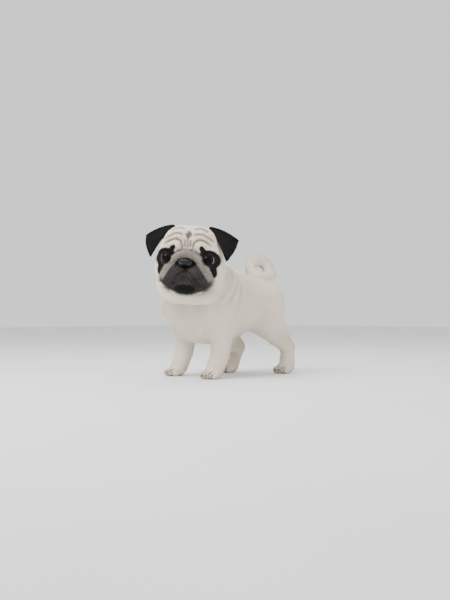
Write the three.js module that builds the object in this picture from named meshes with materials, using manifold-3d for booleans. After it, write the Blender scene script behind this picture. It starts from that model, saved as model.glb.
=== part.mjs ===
// A standing pug at life size, head turned to its left, tail curled over its back.
// Millimetres, +Z up, the floor at Z = 0. The dog faces -Y and its left side is +X.
// The body is one rounded field (negative inside), built from eggs, loaves and limbs that
// flow into each other. It is meshed, then parted into named pieces by thin cuts.
import * as THREE from "three";
import { mergeVertices } from "three/addons/utils/BufferGeometryUtils.js";
import Module from "manifold-3d";

const wasm = await Module();
wasm.setup();

// Driving dimensions
const GAP = 0.35; // between neighbouring pieces
const CENTRE = [-16.1, 28.6, 0]; // brings the middle of the outline over the origin
// Mesh spacings, and the change of shape up to which triangles are merged
const TRUNK_MESH = { step: 20, flattest: 2.5 };
const LEG_MESH = { step: 14, flattest: 2 };
const HEAD_MESH = { step: 9.5, flattest: 1.5 };
const PAW_MESH = { step: 10, flattest: 1.4 };
const TAIL_MESH = { step: 9, flattest: 1.2 };

const HEAD_AT = [37, -143, 262]; // middle of the skull
const HEAD_SCALE = 1.1; // the head's own sizes below are for a head 142 mm wide
const HEAD_YAW = 41; // degrees, towards the dog's left
const HEAD_PITCH = 3; // nose down
const HEAD_ROLL = 4;
const EYE_RADIUS = 13;
const EYE_AT = [39.5, -43, 2.5]; // in the head's frame, mirrored for the other eye
const EYE_OUT = 18; // degrees that each eye looks outwards
const LID = 2.8; // thickness of the eyelids
const LIDS_OPEN = 12; // radius of the ball that opens the lids, and how far ahead of the eye it is
const LIDS_OPEN_AHEAD = 6.5;
const EAR_THICKNESS = 4.4;

const CHEST_HALF_WIDTH = 79;
const PAW_HALF_WIDTH = 22;
const TOE_RADIUS = 9.6;
const CLAW_LENGTH = 10;
const CLAW_RADIUS = 2.8;
const TAIL_RING = 26.5; // radius of the curl's middle line
const TAIL_AT = [31, 80, 246.5];
const TAIL_THICK = 16; // radius at the root
const TAIL_THIN = 10.5; // radius at the tip

const SIDES = { left: 1, right: -1 };
const rad = THREE.MathUtils.degToRad;
const mix = THREE.MathUtils.lerp;
const onBothSides = (make) => Object.values(SIDES).map(make);

// Rounded fields. Each takes a point and gives a distance, negative inside.
function egg([cx, cy, cz], [rx, ry, rz]) {
  return (x, y, z) => {
    const u = (x - cx) / rx;
    const v = (y - cy) / ry;
    const w = (z - cz) / rz;
    const near = Math.hypot(u, v, w);
    const slope = Math.hypot(u / rx, v / ry, w / rz);
    return slope < 1e-9 ? -Math.min(rx, ry, rz) : (near * (near - 1)) / slope;
  };
}

function loaf([cx, cy, cz], half, rounding) {
  const [hx, hy, hz] = half.map((h) => h - rounding);
  return (x, y, z) => {
    const u = Math.abs(x - cx) - hx;
    const v = Math.abs(y - cy) - hy;
    const w = Math.abs(z - cz) - hz;
    const outside = Math.hypot(Math.max(u, 0), Math.max(v, 0), Math.max(w, 0));
    return outside + Math.min(Math.max(u, v, w), 0) - rounding;
  };
}

function limb([ax, ay, az], ra, [bx, by, bz], rb) {
  const dx = bx - ax;
  const dy = by - ay;
  const dz = bz - az;
  const long = dx * dx + dy * dy + dz * dz;
  return (x, y, z) => {
    const px = x - ax;
    const py = y - ay;
    const pz = z - az;
    const t = Math.min(1, Math.max(0, (px * dx + py * dy + pz * dz) / long));
    return Math.hypot(px - dx * t, py - dy * t, pz - dz * t) - mix(ra, rb, t);
  };
}

function melt(a, b, soft) {
  const h = Math.max(soft - Math.abs(a - b), 0) / soft;
  return Math.min(a, b) - (h * h * soft) / 4;
}

const join = (soft, ...fields) => (x, y, z) =>
  fields.slice(1).reduce((sum, f) => melt(sum, f(x, y, z), soft), fields[0](x, y, z));

// Limbs along a curve, given as a point and a radius for each t from start to end
const SEAMLESS = 0.2;
function strand(count, start, end, point, radius) {
  const ts = Array.from({ length: count + 1 }, (_, i) => mix(start, end, i / count));
  return join(
    SEAMLESS,
    ...ts.slice(1).map((t, i) => limb(point(ts[i]), radius(ts[i]), point(t), radius(t))),
  );
}

// Head, in its own frame: x to the dog's left, -y out of the face, z up
const headPlace = new THREE.Matrix4()
  .makeRotationFromEuler(new THREE.Euler(rad(HEAD_PITCH), rad(HEAD_ROLL), rad(HEAD_YAW), "ZXY"))
  .scale(new THREE.Vector3(HEAD_SCALE, HEAD_SCALE, HEAD_SCALE))
  .setPosition(...HEAD_AT);
const toHead = headPlace.clone().invert();

function inHead(field) {
  const m = toHead.elements;
  return (x, y, z) =>
    HEAD_SCALE *
    field(
      m[0] * x + m[4] * y + m[8] * z + m[12],
      m[1] * x + m[5] * y + m[9] * z + m[13],
      m[2] * x + m[6] * y + m[10] * z + m[14],
    );
}

const skull = join(18, loaf([0, 4, 14], [57, 54, 51], 42), loaf([0, -14, 24], [47, 37, 39], 30));
const cheeks = join(14, ...onBothSides((s) => egg([s * 41, -6, -17], [29.5, 42, 37])));
const brows = join(8, ...onBothSides((s) => egg([s * 34, -38, 18], [24, 16, 16])));
const throatFold = strand(
  16,
  -1,
  1,
  (t) => [54 * Math.sin(1.5 * t), 46 * t * t - 40, 28 * Math.abs(t) ** 2.6 - 74],
  () => 12.5,
);
const jaw = join(12, ...onBothSides((s) => limb([0, -32, -46], 23, [s * 29, 2, -36], 26)), throatFold);
const lips = join(
  4,
  ...onBothSides((s) => egg([s * 17, -60, -25], [18, 16, 19])),
  ...onBothSides((s) => limb([s * 20, -58, -26], 16, [s * 36, -43, -36], 16)),
);
const chin = join(6, egg([0, -54, -47], [22, 18, 14]), egg([0, -42, -50], [35, 24, 15]));
const muzzleCore = egg([0, -40, -20], [46, 26, 26]);

// The fold over the nose, an arch from cheek to cheek
const rollPoint = (t) => [51 * t, 26 * t * t - 66, 12.6 - 53 * Math.abs(t) ** 1.9];
const noseRoll = strand(20, -1, 1, rollPoint, (t) => 8.8 - 3 * Math.abs(t));
const nosePad = join(
  3.5,
  egg([0, -70, -3], [13.5, 8.5, 8]),
  ...onBothSides((s) => egg([s * 8.2, -70.5, -6], [7.6, 8, 6.6])),
);
const lids = join(6, ...onBothSides((s) => egg([s * EYE_AT[0], EYE_AT[1], EYE_AT[2]], Array(3).fill(EYE_RADIUS + LID))));

const headField = inHead((x, y, z) => {
  let d = melt(skull(x, y, z), cheeks(x, y, z), 24);
  d = melt(d, jaw(x, y, z), 14);
  d = melt(d, brows(x, y, z), 12);
  d = melt(d, muzzleCore(x, y, z), 12);
  d = melt(d, lids(x, y, z), 7);
  d = melt(d, melt(lips(x, y, z), chin(x, y, z), 3), 6);
  d = melt(d, noseRoll(x, y, z), 10);
  d = melt(d, nosePad(x, y, z), 6);
  return d;
});

// Trunk and neck
const trunk = join(
  38,
  egg([0, -45, 162], [CHEST_HALF_WIDTH, 98, 89]),
  egg([0, -103, 155], [62, 50, 64]),
  egg([0, 46, 173], [69, 84, 69]),
  egg([0, 80, 179], [68, 54, 65]),
);
const neck = join(
  24,
  limb([0, -64, 195], 62, [12, -106, 251], 46),
  limb([4, -96, 185], 56, [22, -122, 223], 52),
);

// Legs: joints from the shoulder or hip down. The left hind foot stands further back.
const foreleg = (s) =>
  join(
    10,
    join(
      16,
      limb([s * 44, -56, 213], 36, [s * 57, -100, 159], 37),
      limb([s * 57, -100, 159], 37, [s * 61, -68, 116], 30),
    ),
    join(
      3,
      limb([s * 61, -68, 118], 28.5, [s * 62, -78, 52], 21.5),
      limb([s * 62, -78, 52], 21.5, [s * 62, -90, 25], 20.5),
    ),
  );

const HIND_JOINTS = {
  left: { hip: [44, 82, 173], knee: [60, 84, 115], hock: [58, 150, 64], heel: [57, 152, 25] },
  right: { hip: [-44, 76, 173], knee: [-59, 40, 116], hock: [-58, 94, 62], heel: [-57, 76, 25] },
};

function hindleg({ hip, knee, hock, heel }) {
  const seat = [hip[0] * 0.9, hip[1] + 16, hip[2] - 12];
  const behindKnee = knee.map((v, i) => mix(v, hock[i], 0.45));
  const thigh = join(20, limb(hip, 46, knee, 32), limb(seat, 36, behindKnee, 25));
  return join(6, thigh, limb(knee, 31, hock, 18), limb(hock, 18, heel, 18));
}

// Each paw: the middle of its toes on the floor, how far it turns outwards, and where it is cut off
const PAWS = {
  forepaw_left: { at: [63, -104], out: 8, top: 42 },
  forepaw_right: { at: [-63, -104], out: -8, top: 42 },
  hindpaw_left: { at: [57, 138], out: 4, top: 36 },
  hindpaw_right: { at: [-57, 60], out: -6, top: 36 },
};
const TOES = [-1, -0.36, 0.36, 1]; // across the paw, in shares of its half width

const toeTip = (share) => [share * PAW_HALF_WIDTH * 0.68, 8 * share * share - 16, TOE_RADIUS - 1.2];
const pawFrame = ({ at, out }) => new THREE.Matrix4().makeRotationZ(rad(out)).setPosition(at[0], at[1], 0);

function pawField(paw) {
  const m = pawFrame(paw).invert().elements;
  const toes = TOES.map((share) => {
    const [x, y, z] = toeTip(share);
    return limb([x, y, z], TOE_RADIUS, [x * 0.75, y + 20, z + 6], TOE_RADIUS);
  });
  const foot = join(
    4,
    join(2.5, ...toes),
    egg([0, 6, 14], [PAW_HALF_WIDTH - 1, 20, 15]),
    limb([0, 8, 16], 17, [0, 12, 30], 18),
  );
  return (x, y, z) => foot(m[0] * x + m[4] * y + m[12], m[1] * x + m[5] * y + m[13], z);
}

// Tail: a ring that leans on the left hip, its tip tucked beside the root
const tailNormal = new THREE.Vector3(0.85, -0.4, 0.34).normalize();
const tailUp = new THREE.Vector3(0, 0, 1).addScaledVector(tailNormal, -tailNormal.z).normalize();
const tailBack = new THREE.Vector3().crossVectors(tailNormal, tailUp).negate();
const TAIL_START = -62; // degrees round the ring, from straight back
const TAIL_END = 292;

function tailPoint(t) {
  const turn = rad(mix(TAIL_START, TAIL_END, t));
  const ring = TAIL_RING + mix(1.5, -4.5, t);
  const aside = 24 * t ** 1.6 - 3;
  return new THREE.Vector3(...TAIL_AT)
    .addScaledVector(tailBack, ring * Math.cos(turn))
    .addScaledVector(tailUp, ring * Math.sin(turn))
    .addScaledVector(tailNormal, aside);
}
const tailRadius = (t) => mix(TAIL_THICK, TAIL_THIN, t ** 1.5);
const tailRoot = limb([6, 100, 205], 26, tailPoint(0).toArray(), TAIL_THICK + 1.5);

const legFields = [...onBothSides(foreleg).map((f) => [f, 16]), ...Object.values(HIND_JOINTS).map((j) => [hindleg(j), 32])];
const pawFields = Object.values(PAWS).map(pawField);

const bodyField = (x, y, z) => {
  let d = melt(trunk(x, y, z), neck(x, y, z), 30);
  for (const [leg, soft] of legFields) d = melt(d, leg(x, y, z), soft);
  d = melt(d, tailRoot(x, y, z), 18);
  for (const paw of pawFields) d = melt(d, paw(x, y, z), 5);
  return melt(d, headField(x, y, z), 16);
};

// Meshing: one vertex in each grid cell that the surface passes, one square over each
// grid edge that it crosses, then the vertices are spread evenly along the surface.
function surface(field, low, high, { step, flattest }, rounds = 3) {
  const count = low.map((v, i) => Math.ceil((high[i] - v) / step) + 1);
  const [nx, ny, nz] = count;
  const at = (i, j, k) => i + nx * (j + ny * k);
  const value = new Float32Array(nx * ny * nz);
  const onRim = (place) => place.some((v, q) => v === 0 || v === count[q] - 1);
  for (let k = 0; k < nz; k++)
    for (let j = 0; j < ny; j++)
      for (let i = 0; i < nx; i++)
        value[at(i, j, k)] = onRim([i, j, k])
          ? step / 2
          : field(low[0] + i * step, low[1] + j * step, low[2] + k * step) || 1e-5;
  const points = [];
  const cellPoint = new Map();
  const corners = [0, 1, 2, 3, 4, 5, 6, 7].map((c) => [c & 1, (c >> 1) & 1, c >> 2]);
  const areNeighbours = (a, b) => a.reduce((n, v, q) => n + (v !== b[q]), 0) === 1;
  const edges = corners.flatMap((a, i) => corners.slice(i + 1).filter((b) => areNeighbours(a, b)).map((b) => [a, b]));
  for (let k = 0; k < nz - 1; k++)
    for (let j = 0; j < ny - 1; j++)
      for (let i = 0; i < nx - 1; i++) {
        const sum = [0, 0, 0];
        let crossed = 0;
        for (const [a, b] of edges) {
          const va = value[at(i + a[0], j + a[1], k + a[2])];
          const vb = value[at(i + b[0], j + b[1], k + b[2])];
          if (va < 0 === vb < 0) continue;
          const t = va / (va - vb);
          a.forEach((v, q) => (sum[q] += mix(v, b[q], t)));
          crossed++;
        }
        if (!crossed) continue;
        cellPoint.set(at(i, j, k), points.length);
        points.push([i, j, k].map((v, q) => low[q] + step * (v + sum[q] / crossed)));
      }
  const quads = [];
  const jump = (v) => v[0] + nx * (v[1] + ny * v[2]);
  for (let axis = 0; axis < 3; axis++) {
    const [unit, b, c] = [0, 1, 2].map((turn) => [0, 1, 2].map((q) => Number(q === (axis + turn) % 3)));
    for (let k = 1 - unit[2]; k < nz - 1; k++)
      for (let j = 1 - unit[1]; j < ny - 1; j++)
        for (let i = 1 - unit[0]; i < nx - 1; i++) {
          const here = at(i, j, k);
          if (value[here] < 0 === value[here + jump(unit)] < 0) continue;
          const ring = [0, jump(b), jump(b) + jump(c), jump(c)].map((q) => cellPoint.get(here - q));
          quads.push(value[here] < 0 ? ring : ring.reverse());
        }
  }
  const around = points.map(() => []);
  for (const q of quads) q.forEach((p, i) => around[p].push(q[(i + 1) % 4]));
  for (let round = 0; round < rounds; round++) {
    const even = points.map((p, i) =>
      p.map((v, q) => mix(v, around[i].reduce((s, n) => s + points[n][q], 0) / around[i].length, 0.5)),
    );
    even.forEach((p, i) => (points[i] = settle(field, p, step / 2)));
  }
  const span = (a, b) => Math.hypot(...points[a].map((v, q) => v - points[b][q]));
  const faces = quads.flatMap(([p, q, r, s]) => (span(p, r) < span(q, s) ? [p, q, r, p, r, s] : [p, q, s, q, r, s]));
  const mesh = solidOf(points.flat(), faces).simplify(flattest);
  const grown = mesh.warp((p) => pushed(field, p, 2 * GAP).forEach((v, q) => (p[q] = v))).add(mesh);
  return { mesh, grown };
}

function slopeAt(field, [x, y, z]) {
  const e = 0.05;
  const d = field(x, y, z);
  return { d, g: [field(x + e, y, z) - d, field(x, y + e, z) - d, field(x, y, z + e) - d].map((v) => v / e) };
}

// Moves a point on to the surface along the field's slope, by no more than a limit
function settle(field, point, limit) {
  for (let n = 0; n < 2; n++) {
    const { d, g } = slopeAt(field, point);
    const steep = Math.max(g[0] ** 2 + g[1] ** 2 + g[2] ** 2, 0.2);
    const far = Math.max(-limit, Math.min(limit, d)) / steep;
    point = point.map((v, q) => v - g[q] * far);
  }
  return point;
}

// Moves a point away from the surface by a set distance
function pushed(field, point, by) {
  const { g } = slopeAt(field, point);
  const length = Math.hypot(...g) || 1;
  return point.map((v, q) => v + (g[q] / length) * by);
}

// Solids for cutting and joining
function solidOf(points, faces) {
  return new wasm.Manifold(
    new wasm.Mesh({ numProp: 3, vertProperties: new Float32Array(points), triVerts: new Uint32Array(faces) }),
  );
}

function solid(geometry) {
  const bare = geometry.clone();
  bare.deleteAttribute("normal");
  bare.deleteAttribute("uv");
  const merged = mergeVertices(bare, 1e-4);
  return solidOf(merged.attributes.position.array, merged.index.array);
}

function geometryOf(manifold) {
  const { vertProperties, triVerts } = manifold.getMesh();
  const shape = new THREE.BufferGeometry()
    .setAttribute("position", new THREE.BufferAttribute(vertProperties, 3))
    .setIndex(new THREE.BufferAttribute(triVerts, 1));
  return mergeVertices(shape.toNonIndexed(), 1e-4);
}

function ball(centre, radii, around = 12, over = 7) {
  const sphere = new THREE.SphereGeometry(1, around, over);
  sphere.scale(...radii);
  sphere.translate(...centre);
  return solid(sphere);
}

// Parts a solid by a plane: the piece that the normal points at, and the rest, with a gap between
function part(body, through, normal) {
  const n = new THREE.Vector3(...normal).normalize();
  const offset = n.dot(new THREE.Vector3(...through));
  return [
    body.trimByPlane(n.toArray(), offset + GAP / 2),
    body.trimByPlane(n.clone().negate().toArray(), -offset + GAP / 2),
  ];
}

const biggest = (body) => body.decompose().sort((a, b) => b.volume() - a.volume())[0];

// Parts a solid by an egg: the piece inside it, and the rest
function carve(body, centre, radii) {
  const inside = ball(centre, radii);
  const around = ball(centre, radii.map((r) => r + GAP));
  return [biggest(body.intersect(inside)), biggest(body.subtract(around))];
}

// Finishes: pale coat, black ears and mask
const FINISH = {
  coat: { color: "#dccdb4", roughness: 0.85, metalness: 0 },
  mask: { color: "#2b2725", roughness: 0.85, metalness: 0 },
  ear: { color: "#1b1918", roughness: 0.8, metalness: 0 },
  nose: { color: "#141313", roughness: 0.35, metalness: 0 },
  eye: { color: "#1c100a", roughness: 0.05, metalness: 0 },
  claw: { color: "#1a1716", roughness: 0.45, metalness: 0 },
};
const dog = new THREE.Group();
dog.position.set(...CENTRE);

function add(name, manifold, finish) {
  const mesh = new THREE.Mesh(geometryOf(biggest(manifold)), new THREE.MeshStandardMaterial(FINISH[finish]));
  mesh.name = name;
  dog.add(mesh);
}

const body = surface(bodyField, [-130, -240, -20], [150, 210, 400], TRUNK_MESH);
const legs = surface(bodyField, [-130, -170, -20], [130, 210, 180], LEG_MESH);
const head = surface(bodyField, [-90, -252, 138], [160, -40, 378], HEAD_MESH);
const intoHead = (manifold) => manifold.transform(toHead.toArray());
const outOfHead = (manifold) => manifold.transform(headPlace.toArray());

// Where the head leaves the neck, in the head's frame
const HEAD_CUT_AT = [0, 18, -30];
const HEAD_CUT = [0, -0.84, 0.54];
const headCutAt = new THREE.Vector3(...HEAD_CUT_AT).applyMatrix4(headPlace).toArray();
const headCut = new THREE.Vector3(...HEAD_CUT).transformDirection(headPlace).toArray();

function buildHead() {
  let rest = intoHead(biggest(part(head.mesh, headCutAt, headCut)[0]));
  for (const [side, s] of Object.entries(SIDES)) {
    const at = [s * EYE_AT[0], EYE_AT[1], EYE_AT[2]];
    const ahead = [s * Math.sin(rad(EYE_OUT)), -Math.cos(rad(EYE_OUT)), 0];
    const opening = at.map((v, q) => v + ahead[q] * LIDS_OPEN_AHEAD);
    rest = rest.subtract(ball(at, Array(3).fill(EYE_RADIUS + GAP)));
    rest = rest.subtract(ball(opening, Array(3).fill(LIDS_OPEN)));
    add(`eye_${side}`, outOfHead(ball(at, Array(3).fill(EYE_RADIUS))), "eye");
  }
  const [nose, noNose] = carve(biggest(rest), [0, -73, -6], [17, 13, 10.5]);
  const [aboveMouth, belowMouth] = part(noNose, [0, -82, -33], [0, 0.28, 1]);
  const [jawBack, jawFront] = part(belowMouth, [0, -20, -50], [0, 1, -0.35]);
  const [muzzle, skullPiece] = carve(aboveMouth, [0, -60, -16], [48, 30, 38]);
  add("nose", outOfHead(nose), "nose");
  add("muzzle", outOfHead(muzzle), "mask");
  add("lower_jaw", outOfHead(jawFront), "mask");
  add("throat", outOfHead(jawBack), "coat");
  add("head", outOfHead(skullPiece), "coat");
}

// Ear flap: a folded sheet from its base up to a crest, then hanging forwards to its tip
const EAR_BASE = [[33, -8, 56], [60, 26, 40]]; // inner end, outer end
const EAR_CREST = [[36, -12, 68], [93, 3, 45]];
const EAR_TIP = [76, -33, 5];
const EAR_ROUND_TIP = [1.8, 1.8, 0.4];
const EAR_FOLD = 0.3; // share of the sheet that lies behind the crest
const EAR_CELLS = [6, 9]; // across and along the sheet

function earSheet(u, v, side) {
  const vector = (p) => new THREE.Vector3(...p);
  const across = ([inner, outer]) => vector(inner).lerp(vector(outer), u);
  const crest = across(EAR_CREST).add(vector([0, 0, 4 * Math.sin(Math.PI * u)]));
  const hem = vector(EAR_TIP).addScaledVector(vector(EAR_ROUND_TIP), 2 * u - 1);
  let point;
  if (v < EAR_FOLD) {
    const t = v / EAR_FOLD;
    point = across(EAR_BASE).lerp(crest, t).addScaledVector(vector([0, 3, 2]), Math.sin(Math.PI * t));
  } else {
    const t = (v - EAR_FOLD) / (1 - EAR_FOLD);
    const swell = Math.sin(Math.PI * t);
    point = crest
      .lerp(hem, t)
      .addScaledVector(vector([0.35, -0.8, 0.25]), 5 * swell ** 0.8)
      .addScaledVector(vector([1, 0.1, -0.2]), 2 * swell * u * u);
  }
  return [point.x * side, point.y, point.z];
}

const plainHead = (x, y, z) => melt(melt(skull(x, y, z), cheeks(x, y, z), 24), brows(x, y, z), 12);

function clearOfHead(point) {
  const least = EAR_THICKNESS / HEAD_SCALE / 2 + GAP;
  for (let n = 0; n < 6; n++) {
    const { d } = slopeAt(plainHead, point);
    if (d < least) point = pushed(plainHead, point, least - d);
  }
  return point;
}

function buildEar(name, side) {
  const [nu, nv] = EAR_CELLS;
  const grid = (i, j) => new THREE.Vector3(...clearOfHead(earSheet(i / nu, j / nv, side)));
  const sheet = Array.from({ length: nu + 1 }, (_, i) => Array.from({ length: nv + 1 }, (_, j) => grid(i, j)));
  const at = (i, j) => sheet[Math.min(nu, Math.max(0, i))][Math.min(nv, Math.max(0, j))];
  const layer = (sign) =>
    sheet.flatMap((row, i) =>
      row.flatMap((p, j) => {
        const du = at(i + 1, j).clone().sub(at(i - 1, j));
        const dv = at(i, j + 1).clone().sub(at(i, j - 1));
        const normal = du.cross(dv).normalize();
        return p.clone().addScaledVector(normal, (sign * side * EAR_THICKNESS) / HEAD_SCALE / 2).toArray();
      }),
    );
  const front = (i, j) => i * (nv + 1) + j;
  const behind = (i, j) => front(i, j) + (nu + 1) * (nv + 1);
  const quads = [];
  for (let i = 0; i < nu; i++)
    for (let j = 0; j < nv; j++) {
      quads.push([front(i, j), front(i + 1, j), front(i + 1, j + 1), front(i, j + 1)]);
      quads.push([behind(i, j + 1), behind(i + 1, j + 1), behind(i + 1, j), behind(i, j)]);
    }
  for (let i = 0; i < nu; i++) {
    quads.push([front(i + 1, 0), front(i, 0), behind(i, 0), behind(i + 1, 0)]);
    quads.push([front(i, nv), front(i + 1, nv), behind(i + 1, nv), behind(i, nv)]);
  }
  for (let j = 0; j < nv; j++) {
    quads.push([front(0, j), front(0, j + 1), behind(0, j + 1), behind(0, j)]);
    quads.push([front(nu, j + 1), front(nu, j), behind(nu, j), behind(nu, j + 1)]);
  }
  const faces = quads.flatMap(([a, b, c, d]) => (side > 0 ? [a, b, c, a, c, d] : [a, c, b, a, d, c]));
  add(name, outOfHead(solidOf([...layer(1), ...layer(-1)], faces)).subtract(head.grown), "ear");
}

// Cuts of the trunk and legs. The leg planes rise outwards, and are given for the left side.
const NECK_CUT_AT = [5, -80, 215];
const NECK_CUT = [0.15, -0.42, 0.89];
const LOIN_FRONT = 2;
const LOIN_BACK = 62;
const FORELEG_CUT = { at: [32, -70, 74], normal: [1.1, 0, -1] };
const HINDLEG_CUT = { at: [32, 60, 102], normal: [0.8, 0.5, -1] };
const HOCK_HEIGHT = 79;
const UPPER_ARM = { across: 70, along: -84, height: 151, radii: [30, 46, 62] };
const THIGH = { across: 64, height: 145, radii: [36, 52, 66] };

// The part of a leg below its slanted cut, and what stays above
const cutLeg = (whole, s, { at, normal }) => part(whole, [s * at[0], at[1], at[2]], [s * normal[0], normal[1], normal[2]]);
const above = (piece, height) => part(piece, [0, 0, height], [0, 0, 1])[0];

function buildBody() {
  const belowHead = part(body.mesh, headCutAt, headCut)[1];
  const [neckPiece, trunkPiece] = part(biggest(belowHead), NECK_CUT_AT, NECK_CUT);
  add("neck", neckPiece, "coat");
  let [back, front] = part(biggest(trunkPiece), [0, LOIN_FRONT, 0], [0, 1, 0]);
  const [backLegs, frontLegs] = part(legs.mesh, [0, LOIN_FRONT, 0], [0, 1, 0]);
  for (const [side, s] of Object.entries(SIDES)) {
    const forearm = cutLeg(frontLegs, s, FORELEG_CUT)[0];
    const chest = cutLeg(front, s, FORELEG_CUT)[1];
    const upperArmAt = [s * UPPER_ARM.across, UPPER_ARM.along, UPPER_ARM.height];
    const [upperArm, ribs] = carve(biggest(chest), upperArmAt, UPPER_ARM.radii);
    add(`forearm_${side}`, above(biggest(forearm), PAWS[`forepaw_${side}`].top), "coat");
    add(`upper_arm_${side}`, upperArm, "coat");
    front = ribs;

    const { hip, knee } = HIND_JOINTS[side];
    const hips = cutLeg(back, s, HINDLEG_CUT)[1];
    const [shank, hock] = part(biggest(cutLeg(backLegs, s, HINDLEG_CUT)[0]), [0, 0, HOCK_HEIGHT], [0, 0, 1]);
    const thighAt = [s * THIGH.across, mix(hip[1], knee[1], 0.4) + 6, THIGH.height];
    const [thigh, rest] = carve(biggest(hips), thighAt, THIGH.radii);
    add(`shank_${side}`, shank, "coat");
    add(`hock_${side}`, above(biggest(hock), PAWS[`hindpaw_${side}`].top), "coat");
    add(`thigh_${side}`, thigh, "coat");
    back = rest;
  }
  add("chest", front, "coat");
  const [rump, loin] = part(back, [0, LOIN_BACK, 0], [0, 1, 0]);
  add("loin", loin, "coat");
  add("rump", rump, "coat");
}

// Paws are cut flat at the floor. Their claws start at the toes' ends and point forwards and down.
const CLAW_DROOP = 24; // degrees
const CLAW_SIDES = 5;

function buildPaw(name, paw) {
  const [x, y] = paw.at;
  const whole = surface(bodyField, [x - 44, y - 44, -16], [x + 44, y + 60, 74], PAW_MESH);
  const [, lower] = part(whole.mesh, [0, 0, paw.top], [0, 0, 1]);
  add(name, lower.trimByPlane([0, 0, 1], 0), "coat");
  TOES.forEach((share, i) => {
    const [tx, ty, tz] = toeTip(share);
    const claw = new THREE.ConeGeometry(CLAW_RADIUS, CLAW_LENGTH, CLAW_SIDES);
    claw.rotateX(rad(90 + CLAW_DROOP));
    claw.translate(tx, ty - TOE_RADIUS + 0.5, tz + 0.5);
    claw.applyMatrix4(pawFrame(paw));
    add(`${name}_claw_${i + 1}`, solid(claw).subtract(whole.grown), "claw");
  });
}

// Tail lengths: each is its share of the curl, trimmed square to the curl at both ends
const TAIL_LENGTHS = { tail_root: [0, 1 / 3], tail_middle: [1 / 3, 2 / 3], tail_tip: [2 / 3, 1] };
const TAIL_SPARE = 0.06; // each length is drawn this far past its cuts
const TAIL_LIMBS = 9;

function buildTail() {
  for (const [name, [from, to]] of Object.entries(TAIL_LENGTHS)) {
    const start = Math.max(0, from - TAIL_SPARE);
    const end = Math.min(1, to + TAIL_SPARE);
    const field = strand(TAIL_LIMBS, start, end, (t) => tailPoint(t).toArray(), tailRadius);
    const [x, y, z] = TAIL_AT;
    let piece = surface(field, [x - 60, y - 60, z - 60], [x + 60, y + 60, z + 60], TAIL_MESH).mesh;
    const trim = (t, keepAfter) => {
      const along = tailPoint(t + 0.01).sub(tailPoint(t - 0.01)).toArray();
      piece = part(piece, tailPoint(t).toArray(), along)[keepAfter ? 0 : 1];
    };
    if (from > 0) trim(from, true);
    if (to < 1) trim(to, false);
    add(name, piece.subtract(body.grown), "coat");
  }
}

buildHead();
for (const [side, s] of Object.entries(SIDES)) buildEar(`ear_${side}`, s);
buildBody();
for (const [name, paw] of Object.entries(PAWS)) buildPaw(name, paw);
buildTail();

export default dog;
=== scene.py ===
import math

import bpy
import numpy as np
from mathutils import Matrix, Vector


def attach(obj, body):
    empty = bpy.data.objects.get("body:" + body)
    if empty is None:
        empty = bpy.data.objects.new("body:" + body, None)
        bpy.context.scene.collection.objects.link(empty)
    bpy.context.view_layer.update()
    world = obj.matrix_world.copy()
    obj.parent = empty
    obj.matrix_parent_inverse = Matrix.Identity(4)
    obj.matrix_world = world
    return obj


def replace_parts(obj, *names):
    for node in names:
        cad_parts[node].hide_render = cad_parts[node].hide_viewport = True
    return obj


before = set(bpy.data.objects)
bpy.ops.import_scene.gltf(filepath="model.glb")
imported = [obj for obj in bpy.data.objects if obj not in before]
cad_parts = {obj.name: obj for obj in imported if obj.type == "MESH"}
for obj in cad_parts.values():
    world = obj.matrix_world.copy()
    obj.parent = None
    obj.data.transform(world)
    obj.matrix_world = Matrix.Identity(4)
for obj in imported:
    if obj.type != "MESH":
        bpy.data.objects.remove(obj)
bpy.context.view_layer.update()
rng = np.random.default_rng(7)

MM = 0.001
CENTRE = np.array((-16.1, 28.6, 0.0))  # moves the outline's middle over the origin
SIDES = (1, -1)  # left, right


def both(make):
    return [make(side) for side in SIDES]


def unit(v):
    return v / np.maximum(np.linalg.norm(v, axis=-1, keepdims=True), 1e-9)


# Rounded fields
def egg(centre, radii):
    """About the distance to an ellipsoid."""

    def field(x, y, z):
        u = (x - centre[0]) / radii[0]
        v = (y - centre[1]) / radii[1]
        w = (z - centre[2]) / radii[2]
        near = np.sqrt(u * u + v * v + w * w)
        slope = np.sqrt((u / radii[0]) ** 2 + (v / radii[1]) ** 2 + (w / radii[2]) ** 2)
        return near * (near - 1) / np.maximum(slope, 1e-6)

    return field


def loaf(centre, half, rounding):
    """A box with round edges."""
    hx, hy, hz = (h - rounding for h in half)

    def field(x, y, z):
        u = np.abs(x - centre[0]) - hx
        v = np.abs(y - centre[1]) - hy
        w = np.abs(z - centre[2]) - hz
        outside = np.sqrt(np.maximum(u, 0) ** 2 + np.maximum(v, 0) ** 2 + np.maximum(w, 0) ** 2)
        return outside + np.minimum(np.maximum(u, np.maximum(v, w)), 0) - rounding

    return field


def limb(a, ra, b, rb):
    """A tapering rod with round ends."""
    dx, dy, dz = (q - p for p, q in zip(a, b))
    long = dx * dx + dy * dy + dz * dz

    def field(x, y, z):
        px, py, pz = x - a[0], y - a[1], z - a[2]
        t = np.clip((px * dx + py * dy + pz * dz) / long, 0, 1)
        px = px - dx * t
        py = py - dy * t
        pz = pz - dz * t
        return np.sqrt(px * px + py * py + pz * pz) - (ra + (rb - ra) * t)

    return field


def melt(a, b, soft):
    """Two shapes as one, with a round fillet where they meet."""
    h = np.maximum(soft - np.abs(a - b), 0) / soft
    return np.minimum(a, b) - h * h * soft / 4


def join(soft, *fields):
    def field(x, y, z):
        total = fields[0](x, y, z)
        for f in fields[1:]:
            total = melt(total, f(x, y, z), soft)
        return total

    return field


SEAMLESS = 0.2  # how far the limbs of a strand melt into each other


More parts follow.
